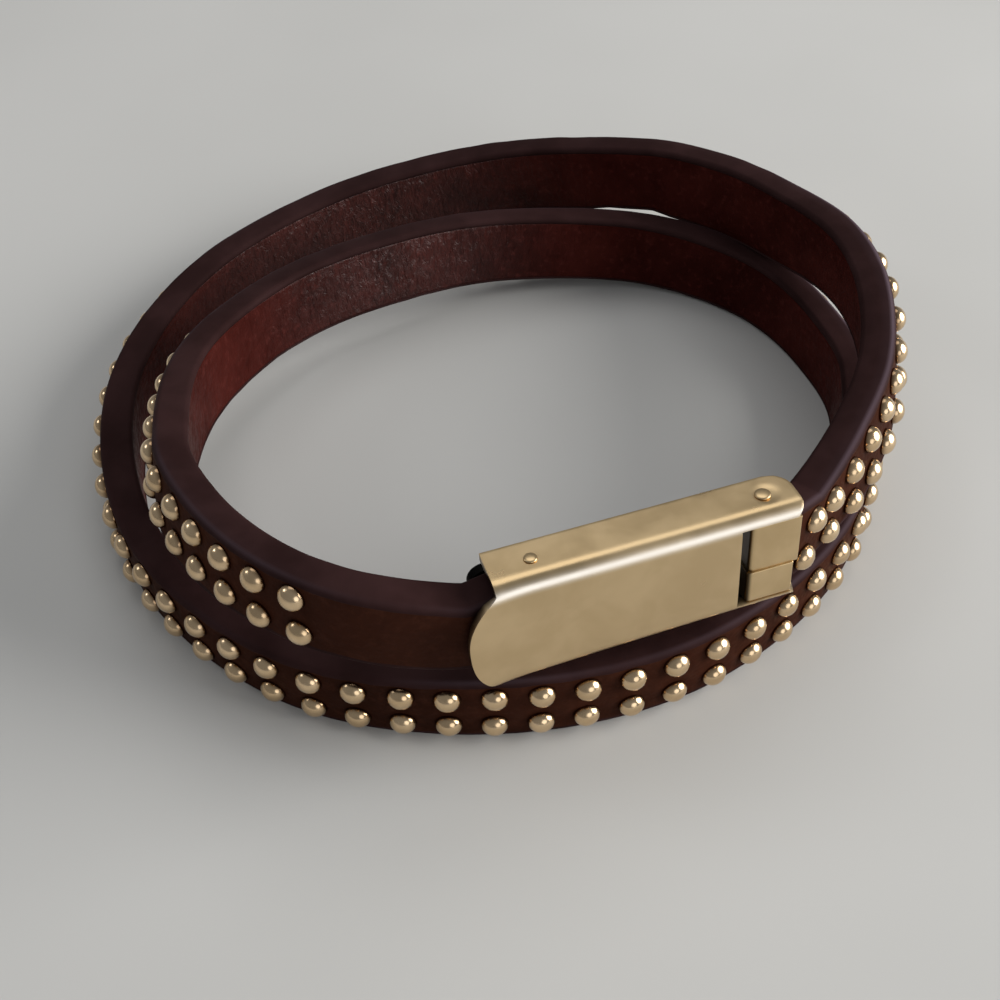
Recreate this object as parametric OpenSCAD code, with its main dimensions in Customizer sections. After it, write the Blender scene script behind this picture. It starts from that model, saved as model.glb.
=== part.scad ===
// Leather wrap bracelet: one studded strap wound twice round the wrist, closed by a folded
// metal clasp. The bracelet lies on a surface at z = 0.

/* [Strap] */
// Width of the strap from edge to edge
strap_w = 7; // [6:0.1:10]
// Thickness of the outer leather
band_t = 1.9; // [1:0.1:2.6]
// Thickness of the lining leather
lining_t = 0.8; // [0.5:0.1:1.2]
// How far the lining stays back from the strap's edges
lining_inset = 0.2; // [0.1:0.05:0.5]
// Chamfer that rounds the strap's painted edges
edge_chamfer = 0.4; // [0.1:0.05:0.6]

/* [Wrap] */
// Radius of the round that the two turns follow
wrap_r = 34; // [30:0.5:42]

/* [Studs] */
// Diameter of a stud
stud_d = 2.2; // [1.6:0.1:2.3]
// How far a stud stands out of the leather
stud_rise = 0.95; // [0.5:0.05:1]
// Distance between studs along a row
stud_pitch = 3.49; // [3.2:0.01:5]
// Distance from a row's middle to the strap's edge
row_margin = 1.8; // [1.6:0.05:2.2]
// Bare strap between the hinge cap and the first stud's middle
first_bare = 1.4; // [1.2:0.1:4]
// Bare strap between the last stud's middle and the tip of the clasp's tongue
last_bare = 11; // [6:0.5:20]
// Length of strap past the hinge cap that bends inwards under the clasp
cap_bend = 2.4; // [2:0.1:4]

/* [Clasp] */
// Distance from the hinge pin to the free end of the lever's flanges
lever_l = 20.8; // [18:0.2:26]
// How far the finger tongue stands out past the flanges
tongue_reach = 2.4; // [1.5:0.1:4]
// Angle by which the finger tongue stands off the strap
tongue_flare = 9; // [0:1:15]
// Thickness of the clasp's sheet metal
sheet_t = 0.7; // [0.5:0.05:0.9]
// Room above and below the strap inside the lever
strap_room = 0.55; // [0.45:0.05:0.9]
// Distance from the hinge pin's axis to the lever's front face
front_depth = 2.3; // [2.2:0.05:2.8]
// Distance from the hinge pin's axis to the flanges' back edge
back_depth = 1.8; // [1.7:0.05:2.2]
// Distance from the hinge pin's axis to the ears' end
ear_reach = 2.45; // [2.2:0.05:3]
// Radius of the ears' corner on the wrist's side
ear_round = 1.7; // [1:0.05:2]
// Outer radius of the fold between the lever's front and its flanges
fold_r = 0.9; // [0.8:0.05:1.2]
// Diameter of the hinge pin
hinge_d = 1.2; // [0.8:0.05:1.4]
// Diameter of the catch pin
catch_d = 1; // [0.8:0.05:1.2]
// Distance between the two pins
pin_span = 17.6; // [15:0.1:18.5]
// Radius of play of the lever's ears on the hinge pin
pin_play = 0.05; // [0.03:0.01:0.09]
// Width of the open slot between the lever's front and the hinge cap
slot_w = 0.7; // [0.5:0.05:1]
// Length of the hinge cap to either side of the hinge pin
cap_half = 1.85; // [1.7:0.05:1.95]
// Thickness of the catch plate along the strap's inner side
catch_plate_t = 0.8; // [0.7:0.05:1.6]
// Width of the catch plate across the strap
catch_plate_w = 5.2; // [4:0.1:6]
// How far the catch plate stands out past the flanges' free end
catch_plate_reach = 0.9; // [0.6:0.1:3]
// Radius of the catch plate's two free corners
catch_plate_round = 1.3; // [0.5:0.1:2]

/* [Hidden] */
$fn = 48;

// Small gap between pieces that lie on each other
gap = 0.06;
// Gap between band and lining
lining_gap = 0.16;
// Gap under the studs
stud_gap = 0.12;
// Clearance round the strap inside the hinge cap
cap_play = 0.2;
// Clearance round the catch pin in the catch plate's notch
notch_play = 0.25;
// Room between the strap's end and the catch block
catch_room = 0.7;
// How far the pins' domed ends stand out of the flanges
head_rise = 0.18;

strap_t = band_t + lining_gap + lining_t;
clasp_h = strap_w + 2 * (strap_room + sheet_t);
// One step inwards from one turn to the next: the strap and its studs
nest_step = strap_t + stud_rise;

// The clasp lies along the front turn: its hinge pin's angle and distance round the wrap,
// its lift in strap widths, and its turn, climb and lean in degrees
CLASP_ANGLE = -53;
CLASP_ROUND = 0.95;
CLASP_LIFT = 1.38;
CLASP_TURN = 16.8;
CLASP_CLIMB = 1;
CLASP_LEAN = -7;

// Where the middle of the whole bracelet lies from the middle of the wrap, in wrap radii
MIDDLE = [-0.013, 0.006];

// The strap's path, one row for each place round the wrap, from the hinge cap to the catch.
// Columns: angle in degrees, distance out in wrap radii, steps inwards from there, lift of
// the lower edge in strap widths, lean of the top edge outwards in degrees
ANGLE = 0;
ROUND = 1;
NEST = 2;
LIFT = 3;
LEAN = 4;
path_rows = [
    [-30, 0.963, 0, 1.41, -13],
    [-15, 0.975, 0, 1.42, -12],
    [0, 0.975, 0, 1.53, -9],
    [15, 0.98, 0, 1.4, -6],
    [30, 0.97, 0, 1.18, -1],
    [45, 0.972, 0, 0.97, 3],
    [60, 0.956, 0, 0.81, 3],
    [90, 0.97, 0, 0.33, 2],
    [120, 0.977, 0, 0.05, 3],
    [150, 0.998, 0, 0, 0],
    [180, 1.007, 0, 0.04, -3],
    [210, 1.005, 0, 0, -1],
    [240, 0.975, 0, 0, 1],
    [270, 0.933, 0, 0, -2],
    [300, 0.945, 0, 0, -2],
    [330, 0.976, 0, 0, -2],
    [360, 0.983, 0, 0, -1],
    [375, 1, 0.3, 0, 1],
    [390, 1, 0.6, 0, 4],
    [405, 0.995, 1.17, 0.01, 6],
    [420, 0.98, 1.84, 0.08, 8],
    [450, 0.965, 2.9, 0.23, 11],
    [480, 0.975, 3.4, 0.38, 13],
    [510, 0.995, 3, 0.48, 11],
    [540, 1.01, 2.1, 0.75, 1],
    [570, 1.005, 1.06, 1.26, -9],
    [585, 0.99, 0.46, 1.44, -11],
    [600, 0.98, 0, 1.6, -8],
    [613, 1, 0, 1.7, -4]
];
// The strap's ends at the clasp. Columns: distances from the hinge pin along the clasp,
// inwards and across in millimetres, and lean against the clasp in degrees
cap_mouth = cap_half;
strap_start = -cap_half + sheet_t;
catch_block_l = 3.4;
catch_x = -pin_span;
catch_left = catch_x - catch_block_l / 2;
strap_end = catch_left - catch_room;
strap_back = back_depth - 0.02 - strap_t / 2;
start_knots = [[strap_start, -0.05, 0, 0], [0, -0.05, 0, 0], [cap_mouth, -0.02, 0, 0],
               [cap_mouth + cap_bend, 1.5, -0.7, 4]];
end_knots = [[-lever_l - tongue_reach, strap_back - 0.1, -0.35, 7], [strap_end, strap_back, -0.3, 5]];

// Points round the wrap
function lying_height(lean) = strap_w / 2 * cos(lean) + strap_t / 2 * abs(sin(lean));
function polar(r, a) = [r * cos(a), r * sin(a)];
function row_knot(row) =
    let (at = polar(wrap_r * row[ROUND] - nest_step * row[NEST], row[ANGLE]))
    [at[0] - wrap_r * MIDDLE[0], at[1] - wrap_r * MIDDLE[1],
     strap_w * row[LIFT] + lying_height(row[LEAN]), row[LEAN]];

// Directions of a frame that heads, climbs and leans: along, outwards and across
function along(head, climb) = [cos(head) * cos(climb), sin(head) * cos(climb), sin(climb)];
function outwards(head, climb, lean) =
    cos(lean) * [sin(head), -cos(head), 0] - sin(lean) * rising(head, climb);
function across(head, climb, lean) =
    cos(lean) * rising(head, climb) + sin(lean) * [sin(head), -cos(head), 0];
function rising(head, climb) = [-sin(climb) * cos(head), -sin(climb) * sin(head), cos(climb)];

hinge_xy = polar(wrap_r * CLASP_ROUND, CLASP_ANGLE);
hinge_at = [hinge_xy[0] - wrap_r * MIDDLE[0], hinge_xy[1] - wrap_r * MIDDLE[1],
            CLASP_LIFT * strap_w + clasp_h / 2];
function clasp_knot(k) =
    let (p = hinge_at + k[0] * along(CLASP_TURN, CLASP_CLIMB)
             - k[1] * outwards(CLASP_TURN, CLASP_CLIMB, CLASP_LEAN)
             + k[2] * across(CLASP_TURN, CLASP_CLIMB, CLASP_LEAN))
    [p[0], p[1], p[2], CLASP_LEAN + k[3]];

// One smooth line through all knots, in short straight steps
knots = concat([for (k = start_knots) clasp_knot(k)], [for (r = path_rows) row_knot(r)],
               [for (k = end_knots) clasp_knot(k)]);
STEPS = 10;
last_knot = len(knots) - 1;
function span(i) = norm([for (k = [0:2]) knots[i + 1][k] - knots[i][k]]);
function slope(i) =
    i == 0 ? (knots[1] - knots[0]) / span(0)
    : i == last_knot ? (knots[i] - knots[i - 1]) / span(i - 1)
    : (knots[i + 1] - knots[i - 1]) / (span(i) + span(i - 1));
function between(i, t) =
    knots[i] * (2 * t * t * t - 3 * t * t + 1) + slope(i) * span(i) * (t * t * t - 2 * t * t + t)
    + knots[i + 1] * (3 * t * t - 2 * t * t * t) + slope(i + 1) * span(i) * (t * t * t - t * t);
line = concat([for (i = [0:last_knot - 1], j = [0:STEPS - 1]) between(i, j / STEPS)],
              [knots[last_knot]]);
function flat3(p) = [p[0], p[1], p[2]];
function running(i, sum, done) =
    i >= len(line) ? done
    : let (next = sum + norm(flat3(line[i]) - flat3(line[i - 1])))
      running(i + 1, next, concat(done, [next]));
reach = running(1, 0, [0]);
strap_l = reach[len(reach) - 1];
tables = [for (k = [0:3]) [for (i = [0:len(line) - 1]) [reach[i], line[i][k]]]];
function lean_at(s) = lookup(s, tables[3]);
function point_at(s) =
    let (z = lookup(s, tables[2]))
    [lookup(s, tables[0]), lookup(s, tables[1]), max(z, lying_height(lean_at(s)))];

// The strap's frame at a length along it: point, heading, climb and lean
LOOK = 0.6;
function frame_at(s) =
    let (a = point_at(max(s - LOOK, 0)), b = point_at(min(s + LOOK, strap_l)), d = b - a)
    [point_at(s), atan2(d[1], d[0]), atan2(d[2], norm([d[0], d[1]])), lean_at(s)];

// Stud places, and the strap's sections halfway between them
cap_s = cap_mouth - strap_start;
bare_s = strap_l - (strap_end + lever_l + tongue_reach) - last_bare;
first_s = cap_s + first_bare;
stud_count = floor((bare_s - first_s) / stud_pitch) + 1;
section_s = concat([0, cap_s / 2],
                   [for (i = [0:stud_count]) first_s + (i - 0.5) * stud_pitch],
                   [for (s = [first_s + (stud_count + 0.5) * stud_pitch : stud_pitch
                              : strap_l - stud_pitch / 2]) s],
                   [strap_l]);

// Sections of a bar swept along the strap: outline points are [outwards, across]. Each side's
// four corners are split along one diagonal or the other
function section(s, outline) =
    let (f = frame_at(s), v = outwards(f[1], f[2], f[3]), w = across(f[1], f[2], f[3]))
    [for (q = outline) f[0] + q[0] * v + q[1] * w];
module swept(outline, other_diagonal = false) {
    n = len(outline);
    rings = [for (s = section_s) section(s, outline)];
    points = [for (r = rings) for (p = r) p];
    m = len(rings);
    sides = [for (i = [0:m - 2], j = [0:n - 1], half = [0:1])
        let (a = i * n + j, b = i * n + (j + 1) % n)
        other_diagonal ? (half == 0 ? [a, b, a + n] : [b, b + n, a + n])
        : (half == 0 ? [a, b, b + n] : [a, b + n, a + n])];
    polyhedron(points, concat(sides, [[for (j = [n - 1:-1:0]) j]], [[for (j = [0:n - 1]) (m - 1) * n + j]]));
}

// Stands children up in the strap's or the clasp's frame: x along, y inwards, z across
module placed(p, head, climb, lean) {
    translate(p) rotate([0, 0, head]) rotate([0, -climb, 0]) rotate([lean, 0, 0]) children();
}
module in_clasp() {
    placed(hinge_at, CLASP_TURN, CLASP_CLIMB, CLASP_LEAN) children();
}

band_in = strap_t / 2 - band_t;
band_outline = let (c = edge_chamfer, o = strap_t / 2, h = strap_w / 2)
    [[o, c - h], [o, h - c], [o - c, h], [band_in + c / 2, h], [band_in, h - c / 2],
     [band_in, c / 2 - h], [band_in + c / 2, -h], [o - c, -h]];
lining_outline = let (o = band_in - lining_gap, i = -strap_t / 2, h = strap_w / 2 - lining_inset)
    [[o, -h], [o, h], [i, h], [i, -h]];

module hinge_hole(r) {
    in_clasp() cylinder(r = r, h = 2 * clasp_h, center = true);
}

// Outer leather with its painted edges, pierced by the hinge pin
module strap_band() {
    color("#4a2a26") difference() {
        swept(band_outline);
        hinge_hole(hinge_d / 2 + pin_play);
    }
}

// Lining leather on the strap's inner side
module strap_lining() {
    color("#7a2e22") difference() {
        swept(lining_outline, other_diagonal = true);
        hinge_hole(hinge_d / 2 + pin_play);
    }
}

// Domed stud with its flat foot at z = 0
module stud() {
    ball_r = (stud_d * stud_d / 4 + stud_rise * stud_rise) / (2 * stud_rise);
    intersection() {
        translate([0, 0, stud_rise - ball_r]) sphere(r = ball_r);
        translate([-stud_d, -stud_d, 0]) cube([2 * stud_d, 2 * stud_d, 2 * stud_rise]);
    }
}

// Both rows of studs from one place along the strap to another
module stud_rows(from, to) {
    for (i = [from:to]) {
        s = first_s + i * stud_pitch;
        f = frame_at(s);
        flat_mid = (point_at(s - stud_pitch / 2) + point_at(s + stud_pitch / 2)) / 2;
        for (side = [-1, 1]) {
            placed(flat_mid, f[1], f[2], f[3])
                translate([0, -strap_t / 2 - stud_gap, side * (strap_w / 2 - row_margin)])
                    rotate([90, 0, 0]) stud();
        }
    }
}
turn_count = ceil(stud_count * 0.65);
module studs_outer_turn() {
    color("#d9b779") stud_rows(0, turn_count - 1);
}
module studs_inner_turn() {
    color("#d9b779") stud_rows(turn_count, stud_count - 1);
}

// The lever's channel profile: front at -front_depth, open towards the wrist
module channel_profile() {
    h = clasp_h / 2;
    inner_r = fold_r - sheet_t;
    difference() {
        union() {
            translate([-front_depth + fold_r, -h]) square([back_depth + front_depth - fold_r, clasp_h]);
            translate([-front_depth, -h + fold_r]) square([fold_r * 2, clasp_h - 2 * fold_r]);
            for (side = [-1, 1]) {
                translate([-front_depth + fold_r, side * (h - fold_r)]) circle(r = fold_r);
            }
        }
        translate([-front_depth + sheet_t + inner_r, -h + sheet_t])
            square([back_depth + front_depth, clasp_h - 2 * sheet_t]);
        translate([-front_depth + sheet_t, -h + fold_r])
            square([fold_r, clasp_h - 2 * fold_r]);
        for (side = [-1, 1]) {
            translate([-front_depth + fold_r, side * (h - fold_r)]) circle(r = inner_r);
        }
    }
}

plate_end = -cap_half - slot_w;
// Folded lever: channel, finger tongue and two hinge ears
module clasp_lever() {
    color("#d8b886") in_clasp() difference() {
        union() {
            // folded channel along the lever
            translate([-lever_l, 0, 0]) rotate([90, 0, 90])
                linear_extrude(lever_l + plate_end) channel_profile();
            translate([-lever_l, -front_depth + sheet_t, 0]) rotate([0, 0, tongue_flare]) tongue();
            ears();
        }
        cylinder(r = hinge_d / 2 + pin_play, h = 2 * clasp_h, center = true);
        translate([catch_x, 0, 0]) cylinder(r = catch_d / 2 + 0.03, h = 2 * clasp_h, center = true);
    }
}

// Round finger tongue that runs on from the front plate, with its root at x = 0
module tongue() {
    r = clasp_h / 2;
    root = 0.3;
    rotate([90, 0, 0]) intersection() {
        translate([r - tongue_reach, 0, 0]) cylinder(r = r, h = sheet_t);
        translate([-tongue_reach - 1, -r, 0]) cube([tongue_reach + 1 + root, 2 * r, sheet_t]);
    }
}

// Both ears: the flanges and folds run on past the front plate to the ears' round end
module ears() {
    fold_z = clasp_h / 2 - fold_r;
    intersection() {
        translate([plate_end - 1, 0, 0]) rotate([90, 0, 90])
            linear_extrude(ear_reach - plate_end + 1) channel_profile();
        for (side = [-1, 1]) {
            translate([0, 0, side > 0 ? fold_z : -fold_z - 2 * fold_r])
                linear_extrude(2 * fold_r) ear_outline();
        }
    }
}
module ear_outline() {
    hull() {
        translate([plate_end - 1, -front_depth]) square([1, front_depth + back_depth]);
        translate([ear_reach - ear_round, back_depth - ear_round]) circle(r = ear_round);
        translate([ear_reach - fold_r, -front_depth + fold_r]) circle(r = fold_r);
    }
}

// Pin through both flanges, with low domed ends
module riveted_pin(d) {
    l = clasp_h / 2;
    ball_r = (d * d / 4 + head_rise * head_rise) / (2 * head_rise);
    cylinder(r = d / 2, h = 2 * l, center = true);
    for (side = [-1, 1]) {
        intersection() {
            translate([0, 0, side * (l + head_rise - ball_r)]) sphere(r = ball_r);
            translate([-d, -d, side > 0 ? l : -l - d]) cube([2 * d, 2 * d, d]);
        }
    }
}
module hinge_pin() {
    color("#d8b886") in_clasp() riveted_pin(hinge_d);
}
module catch_pin() {
    color("#d8b886") in_clasp() translate([catch_x, 0, 0]) riveted_pin(catch_d);
}

// Folded cap that grips the strap's first end and stands between the lever's ears
module hinge_cap() {
    h = clasp_h / 2 - fold_r - 0.15;
    lap = 0.14;
    front = front_depth - 0.2;
    back = back_depth - 0.05;
    color("#d2b07c") in_clasp() difference() {
        union() {
            translate([-cap_half + lap, -front, -h]) cube([2 * cap_half - lap, front, 2 * h]);
            // shorter flap on the wrist's side, where the strap bends inwards
            translate([-cap_half + lap, 0, -h]) cube([cap_half - lap + 0.2, back, 2 * h]);
            // lower flap, lapped over the upper one
            translate([-cap_half, -front - lap / 2, -h]) cube([2 * cap_half, front, h - 0.7]);
        }
        // room for the strap, open above and below
        translate([strap_start - cap_play, -strap_t / 2 - cap_play, -strap_w])
            cube([2 * cap_half, strap_t + 2 * cap_play - 0.05, 2 * strap_w]);
        cylinder(r = hinge_d / 2 + pin_play / 2, h = 2 * clasp_h, center = true);
    }
}

// Dark plate along the strap's inner side, with the notched block that the catch pin sits in
module catch_plate() {
    plate_y = back_depth + 5 * gap;
    h = catch_plate_w / 2;
    block_h = clasp_h / 2;
    block_y = -front_depth + sheet_t + 0.6;
    right = catch_x + catch_block_l / 2;
    left = -lever_l - catch_plate_reach;
    color("#17120f") in_clasp() difference() {
        union() {
            hull() {
                translate([right - 1, plate_y, -h]) cube([1, catch_plate_t, 2 * h]);
                for (side = [-1, 1]) {
                    translate([left + catch_plate_round, plate_y, side * (h - catch_plate_round)])
                        rotate([-90, 0, 0]) cylinder(r = catch_plate_round, h = catch_plate_t);
                }
            }
            translate([catch_left, block_y, -h]) cube([catch_block_l, plate_y + 0.2 - block_y, 2 * h]);
        }
        translate([catch_x, 0, 0]) cylinder(r = catch_d / 2 + notch_play, h = 2 * block_h, center = true);
        translate([catch_x - catch_d / 2 - notch_play, -front_depth, -block_h])
            cube([catch_d + 2 * notch_play, front_depth, 2 * block_h]);
    }
}

strap_band();
strap_lining();
studs_outer_turn();
studs_inner_turn();
clasp_lever();
hinge_pin();
catch_pin();
hinge_cap();
catch_plate();
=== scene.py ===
"""Looks of the leather wrap bracelet: strap, lining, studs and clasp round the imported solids."""
import math

import bmesh
import bpy
import numpy as np
from mathutils import Matrix, Vector


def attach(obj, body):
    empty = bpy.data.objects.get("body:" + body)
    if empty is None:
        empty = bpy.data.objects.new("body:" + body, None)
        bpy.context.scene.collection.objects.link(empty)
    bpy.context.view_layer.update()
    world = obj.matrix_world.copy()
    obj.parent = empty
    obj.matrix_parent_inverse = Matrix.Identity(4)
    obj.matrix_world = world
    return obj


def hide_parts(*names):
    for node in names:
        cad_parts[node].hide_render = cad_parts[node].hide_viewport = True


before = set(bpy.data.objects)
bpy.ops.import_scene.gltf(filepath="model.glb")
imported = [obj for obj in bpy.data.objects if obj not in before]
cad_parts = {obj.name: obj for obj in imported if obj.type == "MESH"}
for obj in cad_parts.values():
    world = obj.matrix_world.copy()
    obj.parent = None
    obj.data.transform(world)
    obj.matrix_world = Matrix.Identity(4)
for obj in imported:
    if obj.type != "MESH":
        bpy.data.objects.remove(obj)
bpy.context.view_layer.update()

MM = 0.001  # sizes below are in millimetres, meshes in metres

# Sizes repeated from the part's source

STRAP_W = 7.0
BAND_T = 1.9
LINING_T = 0.8
LINING_GAP = 0.16
STRAP_T = BAND_T + LINING_GAP + LINING_T
STUD_D = 2.2
STUD_RISE = 0.95
STUD_PITCH = 3.49
ROW_MARGIN = 1.8
FIRST_BARE = 1.4
LAST_BARE = 11.0
OUTER_TURN_SHARE = 0.65
WRAP_R = 34.0
NEST_STEP = STRAP_T + STUD_RISE
MIDDLE = (-0.013, 0.006)

LEVER_L = 20.8
TONGUE_REACH = 2.4
SHEET_T = 0.7
STRAP_ROOM = 0.55
FRONT_DEPTH = 2.3
BACK_DEPTH = 1.8
EAR_REACH = 2.45
EAR_ROUND = 1.7
FOLD_R = 0.9
HINGE_D = 1.2
CATCH_D = 1.0
PIN_SPAN = 17.6
SLOT_W = 0.7
CAP_HALF = 1.85
CAP_BEND = 2.4
CATCH_BLOCK_L = 3.4
CATCH_ROOM = 0.7
HEAD_RISE = 0.18
CLASP_H = STRAP_W + 2 * (STRAP_ROOM + SHEET_T)
PLATE_END = -CAP_HALF - SLOT_W
SLOT_HALF = CLASP_H / 2 - FOLD_R

CLASP_ANGLE = math.radians(-53)
CLASP_ROUND = 0.95
CLASP_LIFT = 1.38
CLASP_TURN = math.radians(16.8)
CLASP_CLIMB = math.radians(1)
CLASP_LEAN = math.radians(-7)

# The strap's path, repeated from the part's source. Columns: angle in degrees, distance out in
# wrap radii, steps inwards from there, lift in strap widths, lean in degrees
PATH_ROWS = [
    (-30, 0.963, 0, 1.41, -13),
    (-15, 0.975, 0, 1.42, -12),
    (0, 0.975, 0, 1.53, -9),
    (15, 0.98, 0, 1.4, -6),
    (30, 0.97, 0, 1.18, -1),
    (45, 0.972, 0, 0.97, 3),
    (60, 0.956, 0, 0.81, 3),
    (90, 0.97, 0, 0.33, 2),
    (120, 0.977, 0, 0.05, 3),
    (150, 0.998, 0, 0, 0),
    (180, 1.007, 0, 0.04, -3),
    (210, 1.005, 0, 0, -1),
    (240, 0.975, 0, 0, 1),
    (270, 0.933, 0, 0, -2),
    (300, 0.945, 0, 0, -2),
    (330, 0.976, 0, 0, -2),
    (360, 0.983, 0, 0, -1),
    (375, 1, 0.3, 0, 1),
    (390, 1, 0.6, 0, 4),
    (405, 0.995, 1.17, 0.01, 6),
    (420, 0.98, 1.84, 0.08, 8),
    (450, 0.965, 2.9, 0.23, 11),
    (480, 0.975, 3.4, 0.38, 13),
    (510, 0.995, 3, 0.48, 11),
    (540, 1.01, 2.1, 0.75, 1),
    (570, 1.005, 1.06, 1.26, -9),
    (585, 0.99, 0.46, 1.44, -11),
    (600, 0.98, 0, 1.6, -8),
    (613, 1, 0, 1.7, -4),
]
# The strap's ends at the clasp. Columns: distances from the hinge pin along the clasp, inwards and
# across, and lean against the clasp in degrees
STRAP_START = -CAP_HALF + SHEET_T
STRAP_END = -PIN_SPAN - CATCH_BLOCK_L / 2 - CATCH_ROOM
STRAP_BACK = BACK_DEPTH - 0.02 - STRAP_T / 2
START_KNOTS = [
    (STRAP_START, -0.05, 0, 0), (0, -0.05, 0, 0), (CAP_HALF, -0.02, 0, 0),
    (CAP_HALF + CAP_BEND, 1.5, -0.7, 4),
]
END_KNOTS = [(-LEVER_L - TONGUE_REACH, STRAP_BACK - 0.1, -0.35, 7), (STRAP_END, STRAP_BACK, -0.3, 5)]
STEPS = 10  # straight steps between two knots when lengths are measured
LOOK = 0.6  # how far a frame looks ahead and back along the strap


def unit(v):
    return v / np.linalg.norm(v, axis=-1, keepdims=True)


def axes(head, climb, lean):
    """Directions along the strap, outwards from the wrist and across the strap."""
    head, climb, lean = (np.asarray(a, float)[..., None] for a in (head, climb, lean))
    rising = [-np.sin(climb) * np.cos(head), -np.sin(climb) * np.sin(head), np.cos(climb)]
    rising = np.concatenate(rising, -1)
    level = np.concatenate([np.sin(head), -np.cos(head), np.zeros_like(head)], -1)
    along = [np.cos(head) * np.cos(climb), np.sin(head) * np.cos(climb), np.sin(climb)]
    outwards = np.cos(lean) * level - np.sin(lean) * rising
    across = np.cos(lean) * rising + np.sin(lean) * level
    return np.concatenate(along, -1), outwards, across


clasp_along, clasp_out, clasp_across = axes(CLASP_TURN, CLASP_CLIMB, CLASP_LEAN)
clasp_axes = np.array([clasp_along, -clasp_out, clasp_across])
hinge_at = np.array([
    WRAP_R * (CLASP_ROUND * math.cos(CLASP_ANGLE) - MIDDLE[0]),
    WRAP_R * (CLASP_ROUND * math.sin(CLASP_ANGLE) - MIDDLE[1]),
    CLASP_LIFT * STRAP_W + CLASP_H / 2,
])


def in_clasp(points):
    """From the clasp's frame (x along, y inwards, z across, hinge pin at the origin) to the row frame."""
    return hinge_at + np.asarray(points, float) @ clasp_axes


def lying_height(lean):
    return STRAP_W / 2 * np.cos(lean) + STRAP_T / 2 * abs(np.sin(lean))


def clasp_knot(along, inwards, across, lean):
    return [*in_clasp((along, inwards, across)), CLASP_LEAN + math.radians(lean)]


def row_knot(angle, distance, nest, lift, lean):
    r = WRAP_R * distance - NEST_STEP * nest
    a, lean = math.radians(angle), math.radians(lean)
    return [r * math.cos(a) - WRAP_R * MIDDLE[0], r * math.sin(a) - WRAP_R * MIDDLE[1],
            STRAP_W * lift + lying_height(lean), lean]


KNOTS = np.array([clasp_knot(*knot) for knot in START_KNOTS] + [row_knot(*row) for row in PATH_ROWS]
                 + [clasp_knot(*knot) for knot in END_KNOTS])
spans = np.linalg.norm(np.diff(KNOTS, axis=0), axis=1)
slopes = np.empty_like(KNOTS)
slopes[0] = (KNOTS[1] - KNOTS[0]) / spans[0]
slopes[-1] = (KNOTS[-1] - KNOTS[-2]) / spans[-1]
slopes[1:-1] = (KNOTS[2:] - KNOTS[:-2]) / (spans[1:] + spans[:-1])[:, None]


def on_line(u):
    """Points and leans of the smooth line at knot numbers u, whole or in between."""
    i = np.clip(np.floor(u).astype(int), 0, len(spans) - 1)
    t = (u - i)[:, None]
    h = spans[i][:, None]
    return (KNOTS[i] * (2 * t**3 - 3 * t**2 + 1) + slopes[i] * h * (t**3 - 2 * t**2 + t)
            + KNOTS[i + 1] * (3 * t**2 - 2 * t**3) + slopes[i + 1] * h * (t**3 - t**2))


measured_u = np.arange(len(spans) * STEPS + 1) / STEPS
measured = on_line(measured_u)[:, :3]
reach = np.concatenate([[0], np.cumsum(np.linalg.norm(np.diff(measured, axis=0), axis=1))])
strap_l = reach[-1]


def strap_points(s):
    """Points and leans of the strap's middle at lengths s along it."""
    found = on_line(np.interp(np.clip(s, 0, strap_l), reach, measured_u))
    found[:, 2] = np.maximum(found[:, 2], lying_height(found[:, 3]))
    return found


def strap_frames(s):
    """Middle points of the strap at lengths s, and the directions outwards and across there."""
    here = strap_points(s)
    d = strap_points(s + LOOK)[:, :3] - strap_points(s - LOOK)[:, :3]
    head = np.arctan2(d[:, 1], d[:, 0])
    climb = np.arctan2(d[:, 2], np.hypot(d[:, 0], d[:, 1]))
    _, outwards, across = axes(head, climb, here[:, 3])
    return here[:, :3], outwards, across


def turned(s):
    """Angle round the wrap at lengths s, counted on over both turns."""
    middle = strap_points(s)
    return np.degrees(np.unwrap(np.arctan2(middle[:, 1], middle[:, 0])))


first_s = CAP_HALF - STRAP_START + FIRST_BARE
bare_s = strap_l - (STRAP_END + LEVER_L + TONGUE_REACH) - LAST_BARE
stud_count = int((bare_s - first_s) // STUD_PITCH) + 1
turn_count = math.ceil(stud_count * OUTER_TURN_SHARE)

# Helpers for shapes

# Large odd numbers that mix a corner's place and a seed into a chance height
MIX_X, MIX_Y, MIX_SEED, MIX_ALL = 374761393, 668265263, 974711, 1274126177
WHOLE_BITS, HEIGHT_BITS = 0x7FFFFFFF, 0xFFFF
LOWEST = 0.01  # nothing of the strap goes lower
SAME_POINT = 1e-7  # points nearer than this are one, in metres


def value_noise(x, y, seed):
    """Smooth noise from -1 to 1, one step to each unit of x and y."""
    ix, iy = np.floor(x).astype(np.int64), np.floor(y).astype(np.int64)
    fx, fy = x - ix, y - iy
    fx, fy = fx * fx * (3 - 2 * fx), fy * fy * (3 - 2 * fy)

    def lattice(a, b):
        h = (a * MIX_X + b * MIX_Y + seed * MIX_SEED) & WHOLE_BITS
        h = ((h ^ (h >> 13)) * MIX_ALL) & WHOLE_BITS
        return ((h ^ (h >> 16)) & HEIGHT_BITS) / (HEIGHT_BITS / 2) - 1

    low = lattice(ix, iy) * (1 - fx) + lattice(ix + 1, iy) * fx
    high = lattice(ix, iy + 1) * (1 - fx) + lattice(ix + 1, iy + 1) * fx
    return low * (1 - fy) + high * fy


def smooth_step(x, low, high):
    t = np.clip((x - low) / (high - low), 0, 1)
    return t * t * (3 - 2 * t)


def bell(x, middle, spread):
    """1 at the middle, falling smoothly to 0 on both sides."""
    return np.exp(-(((x - middle) / spread) ** 2))


def angle_from(angle, middle):
    """The shorter way round from one angle to another, in degrees."""
    return (angle - middle + 180) % 360 - 180


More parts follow.
